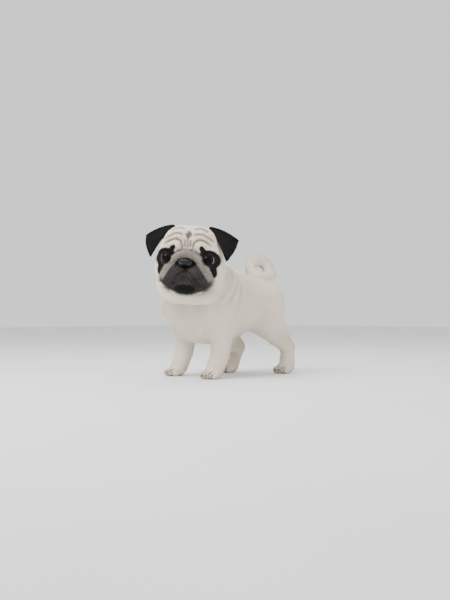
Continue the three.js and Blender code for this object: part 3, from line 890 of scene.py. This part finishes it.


# Coat colours by the markings and the painted shade in creases and between the toes
COAT_STOPS = [  # by darkness
    (0.0, (0.88, 0.80, 0.67)),
    (0.14, (0.78, 0.68, 0.54)),
    (0.3, (0.48, 0.42, 0.35)),
    (0.55, (0.15, 0.132, 0.12)),
    (0.8, (0.030, 0.027, 0.026)),
    (1.0, (0.004, 0.0037, 0.0037)),
]


def coat_colour(tree, tone):
    """The markings and the painted shade in creases and between the toes, plus a slow and a fine change of
    tone.
    """
    dark = calc(tree, "ADD", value_node(tree, "marks_and_shade"), wobble(tree, 14, 0.16))
    return ramp(tree, calc(tree, "ADD", dark, tone), COAT_STOPS)


BARE_SKIN = (0.007, 0.0065, 0.007, 1)


def skin_material():
    material, tree, shader = new_material("pug_skin", 0.7, 0.22)
    colour = coat_colour(tree, wobble(tree, 900, 0.2))
    bare = value_node(tree, "bare")
    mix = tree.nodes.new("ShaderNodeMix")
    mix.data_type = "RGBA"
    mix.inputs["B"].default_value = BARE_SKIN
    tree.links.new(bare, mix.inputs["Factor"])
    tree.links.new(colour, mix.inputs["A"])
    tree.links.new(mix.outputs["Result"], shader.inputs["Base Color"])
    rough = calc(tree, "SUBTRACT", 0.75, calc(tree, "MULTIPLY", bare, 0.42))
    tree.links.new(rough, shader.inputs["Roughness"])
    cells = tree.nodes.new("ShaderNodeTexVoronoi")
    cells.inputs["Scale"].default_value = 700
    place = tree.nodes.new("ShaderNodeTexCoord")
    tree.links.new(place.outputs["Object"], cells.inputs["Vector"])
    pebbles = calc(tree, "MULTIPLY", cells.outputs["Distance"], bare)
    hairs = calc(tree, "MULTIPLY", noise(tree, 1200), calc(tree, "SUBTRACT", 1.0, bare))
    add_bump(tree, shader, calc(tree, "ADD", pebbles, hairs), 0.0005, 0.8)
    return material


def tuft_material():
    material, tree, shader = new_material("pug_coat", 0.62, 0.1)
    tone = calc(tree, "MULTIPLY", value_node(tree, "tone"), 0.16)
    tree.links.new(coat_colour(tree, tone), shader.inputs["Base Color"])
    return material


EYE_STOPS = [  # by the angle off the eye's axis, as a share of a quarter turn
    (0.0, (0.002, 0.002, 0.002)),
    (0.28, (0.002, 0.002, 0.002)),
    (0.32, (0.010, 0.004, 0.002)),
    (0.50, (0.016, 0.007, 0.003)),
    (0.55, (0.003, 0.002, 0.002)),
    (0.60, (0.003, 0.002, 0.002)),
    (0.63, (0.60, 0.58, 0.56)),
    (1.0, (0.50, 0.44, 0.42)),
]


def eye_material():
    material, tree, shader = new_material("pug_eye", 0.04, 0.07)
    place = calc(tree, "ADD", value_node(tree, "off_axis"), wobble(tree, 500, 0.06, 4))
    tree.links.new(ramp(tree, place, EYE_STOPS), shader.inputs["Base Color"])
    return material


def horn_material():
    material, tree, shader = new_material("pug_claw", 0.35)
    mottle(tree, shader, 300, (0.012, 0.010, 0.009), (0.045, 0.036, 0.030))
    add_bump(tree, shader, noise(tree, 800), 0.0002)
    return material


def whisker_material():
    material, tree, shader = new_material("pug_whisker", 0.4)
    mottle(tree, shader, 200, (0.008, 0.008, 0.008), (0.03, 0.028, 0.026))
    return material


# The skin, with its ears
points, faces = make_skin_shape()
body_count = len(points)
ear_lie = np.zeros((0, 3))
for side in SIDES:
    ear_points, ear_faces, lie = ear_shape(side)
    faces = np.concatenate([faces, ear_faces + len(points)])
    points = np.concatenate([points, ear_points])
    ear_lie = np.concatenate([ear_lie, lie])
is_ear = np.arange(len(points)) >= body_count
normals, areas = normals_of(points, faces)
# The markings, with painted shade in the creases and between the toes
dark = np.maximum(marks_and_shade(points), toe_gap_shade(points))
dark[is_ear] = EAR_DARK

# Bare skin: the nose, the rims of the lids and the line of the mouth
hx, hy, hz = to_head(points).T
on_nose = fade(-0.2, 1.0, nose_pad(hx, hy, hz))
on_mouth = stroke(MOUTH[0], 1.4, np.abs(hx), hz) * (hy < -40)
off_opening = np.minimum(*(opening(hx, hy, hz) for opening in openings))
off_eye = np.linalg.norm(np.stack([np.abs(hx) - EYE_AT[0], hy - EYE_AT[1], hz - EYE_AT[2]]), axis=0)
on_rim = fade(0.6, 2.2, off_opening) * fade(EYE_RADIUS + 1.5, EYE_RADIUS + 3.5, off_eye)
bare = np.maximum.reduce([on_nose, on_rim, on_mouth])
bare[is_ear] = 0

skin = make_mesh("skin", points, faces)
add_value(skin, "marks_and_shade", dark)
add_value(skin, "bare", bare)
skin.data.materials.append(skin_material())
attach(skin, "root")
CLAWS = [f"{paw}_claw_{i + 1}" for paw in PAWS for i in range(len(TOES))]
EYES = ["eye_left", "eye_right"]
flesh = [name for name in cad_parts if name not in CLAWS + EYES]
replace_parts(skin, *flesh)


# The lie of the coat: which way the hair points on each part
LIE_BACK = np.array((0, 1.0, -0.35))
LIE_LEG = np.array((0, 0.2, -1.0))
LIE_PAW = np.array((0, -1.0, -0.5))
LIE_BREAST = np.array((0, -0.4, -1.4))
LIE_CENTRE = np.array((0.0, -62.0, 2.0))  # on the head the hair points away from here
TAIL_REGION = (20, 213)  # behind and above these
TAIL_BEADS = 60
EAR_FACE_SHARE = 0.55  # the ears' hair is between the head's and the face's


def blend(a, b, share):
    return a * (1 - share)[:, None] + b * share[:, None]


def lie_of_coat(p, on_head):
    x, y, z = p.T
    lie = blend(LIE_BACK, LIE_LEG, fade(88, 140, z))
    breast = fade(-130, -90, y) * (1 - on_head)
    lie = lie + breast[:, None] * LIE_BREAST
    lie = blend(lie, LIE_PAW, fade(20, 34, z))
    lie = blend(lie, unit(p - out_of_head(LIE_CENTRE)), on_head)
    beads = np.array([tail_point(t) for t in np.linspace(0, 1, TAIL_BEADS)])
    tangents = unit(np.gradient(beads, axis=0))
    on_tail = np.flatnonzero((y > TAIL_REGION[0]) & (z > TAIL_REGION[1]))
    gap = np.linalg.norm(p[on_tail][:, None, :] - beads[None], axis=2)
    lie[on_tail] = blend(lie[on_tail], tangents[gap.argmin(axis=1)], fade(18, 24, gap.min(axis=1)))
    return lie


off_head = head_field(*points.T)
head_share = fade(4, 45, off_head)
lie = lie_of_coat(points, head_share)
lie[is_ear] = ear_lie
face_share = fade(-45, 0, hy) * fade(2, 8, off_head)
face_share[is_ear] = EAR_FACE_SHARE
leg_share = fade(18, 120, points[:, 2])  # whole on the paws, and none from the elbows up

# Tufts: length, width and how many to a square millimetre
BODY_HAIR = (8.6, 0.66, 0.98)
HEAD_HAIR = (6, 0.52, 1.35)
FACE_HAIR = (3.4, 0.42, 2.4)
PAW_HAIR = (4.6, 0.5, 1.5)
COAT_PIECES = 7
MOST_TRIANGLES = 196000  # in each coat piece
TUFT_FACES = np.array([(0, 1, 2), (0, 2, 3), (3, 2, 4)])
TUFT_POINTS = 5


def hair_value(which):
    value = np.full(len(points), BODY_HAIR[which])
    for hair, share in ((HEAD_HAIR, head_share), (FACE_HAIR, face_share), (PAW_HAIR, leg_share)):
        value = value + (hair[which] - value) * share
    return value


hair_length, hair_width, hair_density = (hair_value(which) for which in range(3))
bald = (bare >= 0.35) | (off_eye <= EYE_RADIUS + 1.8) | (nostrils(hx, hy, hz) < 1.5)
on_sole = points[:, 2] <= SOLE + 0.25
hair_density = hair_density * ~(bald | on_sole)


def scatter():
    """Roots spread over the skin: the triangle of each, and its place in that triangle."""
    wanted = areas * hair_density[faces].mean(axis=1)
    most = COAT_PIECES * MOST_TRIANGLES / len(TUFT_FACES)
    wanted *= min(1, most / wanted.sum())
    count = np.floor(wanted + rng.random(len(wanted))).astype(int)
    face = np.repeat(np.arange(len(faces)), count)
    a, b = rng.random((2, len(face)))
    over = a + b > 1
    a[over], b[over] = 1 - a[over], 1 - b[over]
    return face, np.stack([1 - a - b, a, b], axis=1)


def at_roots(values):
    """What the skin's points have, at each root."""
    corners = values[faces[root_face]]
    if values.ndim == 1:
        return (corners * root_share).sum(axis=1)
    return (corners * root_share[:, :, None]).sum(axis=1)


root_face, root_share = scatter()
order = rng.permutation(len(root_face))
root_face, root_share = root_face[order], root_share[order]
roots = at_roots(points)
root_normal = unit(at_roots(normals))
root_lie, root_length, root_width, root_dark = map(at_roots, (lie, hair_length, hair_width, dark))


WAVE = 6.3  # about one wave over the scale


def swirl(p, scale, seed):
    """A slow wave in space, from -1 to 1."""
    a, b, c = (p @ way * WAVE for way in np.random.default_rng(seed).normal(size=(3, 3)) / scale)
    return np.sin(a) * 0.5 + np.sin(b + 1.7) * 0.3 + np.sin(c) * 0.2


# Each tuft is a blade of five points: two at its foot, two at its middle and its tip
ROOT_DEPTH = 0.35
HAIR_LOW = 0.25  # over the floor
LENGTHS = (0.72, 1.22)  # shares of what a tuft has on its part of the body
WIDTHS = (0.8, 1.2)
MIDDLE_WIDTH = 0.82
count = len(roots)
along = unit(root_lie - root_normal * (root_lie * root_normal).sum(axis=1)[:, None])
across = np.cross(root_normal, along)
bend = 0.22 * swirl(roots, 26, 3) + 0.16 * swirl(roots, 9, 5) + rng.normal(0, 0.14, count)
along = unit(along + across * bend[:, None])
across = np.cross(root_normal, along)
length = root_length * rng.uniform(*LENGTHS, count)
lift = 0.1 + 0.04 * swirl(roots, 12, 11) + rng.uniform(0, 0.1, count)
roll = rng.normal(0, 0.3, count)
width = root_width * rng.uniform(*WIDTHS, count)
wide = unit(across + root_normal * roll[:, None]) * width[:, None] / 2
foot = roots - root_normal * ROOT_DEPTH
middle = roots + along * (length * 0.5)[:, None] + root_normal * (length * lift * 0.85)[:, None]
tip = roots + along * length[:, None] + root_normal * (length * lift)[:, None]
middle_wide = wide * MIDDLE_WIDTH
blades = np.stack([foot - wide, foot + wide, middle + middle_wide, middle - middle_wide, tip], axis=1)
blades[..., 2] = np.maximum(blades[..., 2], HAIR_LOW)

# The map for baking: box views of each region of the skin, laid side by side.
# Regions 0 to 8 are the trunk, the four legs, the tail, the head and the two ears.
REGION_SCALE = [1.0, 1.3, 1.3, 1.3, 1.3, 1.6, 2.6, 1.8, 1.8]
LEGS_BELOW = 104
MAP_MARGIN = 0.004
PATCH = 0.003  # how wide each tuft is on the map


def region_of(p, ear, head):
    x, y, z = p.T
    leg = z < LEGS_BELOW
    region = np.where(leg, 1 + 2 * (y >= 0) + (x <= 0), 0)
    region[tail(x, y, z) < 4] = 5
    region[head > 0.5] = 6
    region[ear > 0.5] = np.where(to_head(p[ear > 0.5])[:, 0] > 0, 7, 8)
    return region


def unwrap(p, n, region):
    """A place in the unit square for each root, by region and by the side that it faces."""
    side = np.abs(n).argmax(axis=1)
    chart = region * 6 + side * 2 + (n[np.arange(len(n)), side] > 0)
    flat = np.stack([p[:, 1], p[:, 2], p[:, 0], p[:, 2], p[:, 0], p[:, 1]], axis=1).reshape(-1, 3, 2)
    place = flat[np.arange(len(p)), side] * np.array(REGION_SCALE)[region][:, None]
    ids = np.unique(chart)
    lows = np.array([place[chart == c].min(axis=0) for c in ids])
    sizes = np.array([place[chart == c].max(axis=0) for c in ids]) - lows
    order = np.argsort(-sizes[:, 1])

    def shelves(scale):
        """The charts' corners when laid in rows, and the height of all the rows."""
        corner = np.array([0.0, 0.0])
        shelf = 0.0
        spots = np.zeros_like(sizes)
        for i in order:
            size = sizes[i] * scale + 2 * MAP_MARGIN
            if corner[0] + size[0] > 1:
                corner = np.array([0.0, corner[1] + shelf])
                shelf = 0.0
            spots[i] = corner + MAP_MARGIN
            corner[0] += size[0]
            shelf = max(shelf, size[1])
        return spots, corner[1] + shelf

    low, high = 1e-5, 1.0 / sizes.max()
    for _ in range(30):  # towards the largest scale that fits
        scale = (low + high) / 2
        if shelves(scale)[1] <= 1:
            low = scale
        else:
            high = scale
    spots = shelves(low)[0]
    row = np.searchsorted(ids, chart)
    return (place - lows[row]) * low + spots[row]


root_region = region_of(roots, at_roots(is_ear.astype(float)), at_roots(head_share))
root_place = unwrap(roots, root_normal, root_region)
CORNER_IN_PATCH = np.array([(-0.5, -0.5), (0.5, -0.5), (0.4, 0.1), (-0.4, 0.1), (0, 0.5)]) * PATCH
tone = np.clip(rng.normal(0, 0.4, count), -1, 1) + 0.25 * swirl(roots, 5, 21)

coat_material = tuft_material()
per_piece = int(math.ceil(count / COAT_PIECES))
for piece in range(COAT_PIECES):
    own = slice(piece * per_piece, min(count, (piece + 1) * per_piece))
    first_points = TUFT_POINTS * np.arange(len(blades[own]))
    tuft_faces = (TUFT_FACES[None] + first_points[:, None, None]).reshape(-1, 3)
    coat = make_mesh(f"coat_{piece + 1}", blades[own].reshape(-1, 3), tuft_faces)
    add_value(coat, "marks_and_shade", np.repeat(root_dark[own], TUFT_POINTS))
    add_value(coat, "tone", np.repeat(tone[own], TUFT_POINTS))
    corners = (root_place[own][:, None] + CORNER_IN_PATCH[None]).reshape(-1, 2)
    layer = coat.data.uv_layers.new(name="OFBake")
    layer.data.foreach_set("uv", corners[tuft_faces.ravel()].astype(np.float32).ravel())
    coat.data.materials.append(coat_material)
    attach(coat, "root")


# Eyes: balls with a raised cornea, in rings round the way that they look
EYE_RINGS = 40
EYE_AROUND = 64
CORNEA_RISE = 0.045
CORNEA_WIDTH = 0.55
EYE_LOOKS_OUT = EYE_OUT * 0.75  # less than the lids do


def make_eye(name, side):
    theta = np.linspace(0, math.pi, EYE_RINGS + 1)
    phi = np.linspace(0, 2 * math.pi, EYE_AROUND, endpoint=False)
    t, f = np.meshgrid(theta, phi, indexing="ij")
    radius = EYE_RADIUS * (1 + CORNEA_RISE * bell(t, CORNEA_WIDTH))
    out = radius * np.sin(t)
    local = np.stack([out * np.cos(f), -radius * np.cos(t), out * np.sin(f)], axis=-1)
    local = local.reshape(-1, 3) @ turn(2, side * EYE_LOOKS_OUT).T
    centre = np.array((side * EYE_AT[0], EYE_AT[1], EYE_AT[2]))
    ids = np.arange(len(local)).reshape(EYE_RINGS + 1, EYE_AROUND)
    after = np.roll(ids, -1, axis=1)
    quads = np.stack([ids[:-1], ids[1:], after[1:], after[:-1]], axis=-1).reshape(-1, 4)
    eye = make_mesh(name, out_of_head(local + centre), quads)
    add_value(eye, "off_axis", (t / (math.pi / 2)).ravel())
    eye.data.materials.append(eye_look)
    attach(eye, "root")
    return eye


eye_look = eye_material()
for name, side in zip(EYES, SIDES):
    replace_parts(make_eye(f"{name}_ball", side), name)


# Claws: short cones that curve down from the toes
CLAW_LENGTH = 7.5
CLAW_RADIUS = 1.9
CLAW_TIP_RADIUS = 0.12
CLAW_START = (4.5, 2.2)  # back from the toe's front, and above its middle


def tube(path, radii, around):
    """Points and faces of a closed tube along a path."""
    path = np.asarray(path, float)
    ahead = unit(np.gradient(path, axis=0))
    side = unit(np.cross(ahead, np.array((0.13, 0.05, 1.0))))
    up = np.cross(side, ahead)
    angle = np.linspace(0, 2 * math.pi, around, endpoint=False)
    ring = side[:, None] * np.cos(angle)[None, :, None] + up[:, None] * np.sin(angle)[None, :, None]
    wall = (path[:, None] + ring * np.asarray(radii)[:, None, None]).reshape(-1, 3)
    ids = np.arange(len(wall)).reshape(len(path), around)
    after = np.roll(ids, -1, axis=1)
    sides = np.stack([ids[:-1], after[:-1], after[1:], ids[1:]], axis=-1).reshape(-1, 4)
    ends = []
    for ring_ids, flip in ((ids[0], True), (ids[-1], False)):
        fan = np.stack([np.full(around - 2, ring_ids[0]), ring_ids[1:-1], ring_ids[2:]], axis=1)
        ends.append(fan[:, ::-1] if flip else fan)
    return wall, np.concatenate([triangles_of(sides), *ends])


def join_tubes(tubes):
    starts = np.cumsum([0] + [len(wall) for wall, _ in tubes])
    all_faces = [tube_faces + start for (_, tube_faces), start in zip(tubes, starts)]
    return np.concatenate([wall for wall, _ in tubes]), np.concatenate(all_faces)


def claw_tube(at, out, share):
    x, y, z = toe_tip(share)
    t = np.linspace(0, 1, 9)
    forwards = y - TOE_RADIUS + CLAW_START[0] - CLAW_LENGTH * t
    down = z + CLAW_START[1] + 0.6 * t - 6.2 * t * t
    path = np.stack([np.full_like(t, x), forwards, down], axis=1)
    path = path @ turn(2, out).T + np.array((*at, 0))
    return tube(path, CLAW_RADIUS * (1 - t) ** 0.6 + CLAW_TIP_RADIUS, 10)


claws = make_mesh("claws", *join_tubes([claw_tube(at, out, s) for at, out in PAWS.values() for s in TOES]))
claws.data.materials.append(horn_material())
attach(claws, "root")
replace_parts(claws, *CLAWS)


# Whiskers on the lips: place across and up, length and how steeply they rise
WHISKERS = [
    (16, -14, 20, 0.0),
    (22, -19, 24, -0.1),
    (28, -23, 26, -0.15),
    (19, -26, 22, -0.3),
    (26, -31, 24, -0.35),
    (33, -33, 22, -0.4),
]
WHISKER_RADIUS = 0.28
WHISKER_TIP_RADIUS = 0.05
WHISKER_BENDS = (3.0, 7.0, -5.0)


def whisker(side, x, z, reach, rise):
    start = np.array((side * x, -60.0 - 0.25 * (30 - x), z))
    for _ in range(8):  # onto the skin
        d, g = gradient(head_shape, start[None])
        start = start - unit(g)[0] * d[0]
    out = unit(np.array((side * 0.8, -0.65, rise)))
    t = np.linspace(0, 1, 9)[:, None]
    path = start - out + out * reach * t + np.array(WHISKER_BENDS) * (side, 1, 1) * t * t
    return tube(out_of_head(path), WHISKER_RADIUS * (1 - t[:, 0]) + WHISKER_TIP_RADIUS, 5)


whiskers = make_mesh("whiskers", *join_tubes([whisker(side, *one) for side in SIDES for one in WHISKERS]))
whiskers.data.materials.append(whisker_material())
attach(whiskers, "root")

# Stage
FLOOR_HALF = 6.0  # metres


def floor_material():
    material, tree, shader = new_material("pale_floor", 0.8)
    mottle(tree, shader, 3, (0.78, 0.78, 0.77), (0.82, 0.82, 0.81))
    return material


corners = np.array([(-1, -1, 0), (1, -1, 0), (1, 1, 0), (-1, 1, 0)]) * FLOOR_HALF / MM
floor = make_mesh("floor", corners - CENTRE, np.array([[0, 1, 2, 3]]), smooth=False)
floor.data.materials.append(floor_material())

world = bpy.data.worlds.new("studio")
bpy.context.scene.world = world
world.use_nodes = True
background = world.node_tree.nodes["Background"]
background.inputs["Color"].default_value = (0.96, 0.97, 1.0, 1)
background.inputs["Strength"].default_value = 1.15

# Camera: where it looks and stands, and where the photograph has the point that it looks at
LOOK_AT = Vector(((np.array((-8.0, -14.0, 173.0)) + CENTRE) * MM).tolist())
AZIMUTH = 47
ELEVATION = -0.8
CAMERA_DISTANCE = 1.9
SENSOR_WIDTH = 36
PIXELS_PER_MM = 0.424
PHOTO_WIDTH = 450
PHOTO_MIDDLE = (225, 300)
SUBJECT_PIXEL = (219.5, 301.5)


def towards(azimuth, elevation):
    az, el = math.radians(azimuth), math.radians(elevation)
    return Vector((math.sin(az) * math.cos(el), -math.cos(az) * math.cos(el), math.sin(el)))


def aim(obj, direction):
    obj.rotation_mode = "QUATERNION"
    obj.rotation_quaternion = direction.to_track_quat("-Z", "Y")


def area_light(name, azimuth, elevation, distance, size, power):
    light = bpy.data.lights.new(name, "AREA")
    light.energy = power
    light.size = size
    obj = bpy.data.objects.new(name, light)
    bpy.context.scene.collection.objects.link(obj)
    obj.location = LOOK_AT + towards(azimuth, elevation) * distance
    aim(obj, -towards(azimuth, elevation))


area_light("key", AZIMUTH - 48, 48, 1.9, 1.0, 44)
area_light("glint", AZIMUTH - 22, 34, 1.7, 0.1, 1.8)
area_light("fill", AZIMUTH + 55, 22, 2.2, 1.6, 12)
area_light("top", AZIMUTH + 170, 70, 1.9, 1.2, 16)

camera_data = bpy.data.cameras.new("camera")
camera_data.sensor_fit = "HORIZONTAL"
camera_data.sensor_width = SENSOR_WIDTH
camera_data.lens = SENSOR_WIDTH * PIXELS_PER_MM * CAMERA_DISTANCE / MM / PHOTO_WIDTH
camera_data.shift_x = (PHOTO_MIDDLE[0] - SUBJECT_PIXEL[0]) / PHOTO_WIDTH
camera_data.shift_y = (SUBJECT_PIXEL[1] - PHOTO_MIDDLE[1]) / PHOTO_WIDTH
camera = bpy.data.objects.new("camera", camera_data)
bpy.context.scene.collection.objects.link(camera)
camera.location = LOOK_AT + towards(AZIMUTH, ELEVATION) * CAMERA_DISTANCE
aim(camera, -towards(AZIMUTH, ELEVATION))
bpy.context.scene.camera = camera
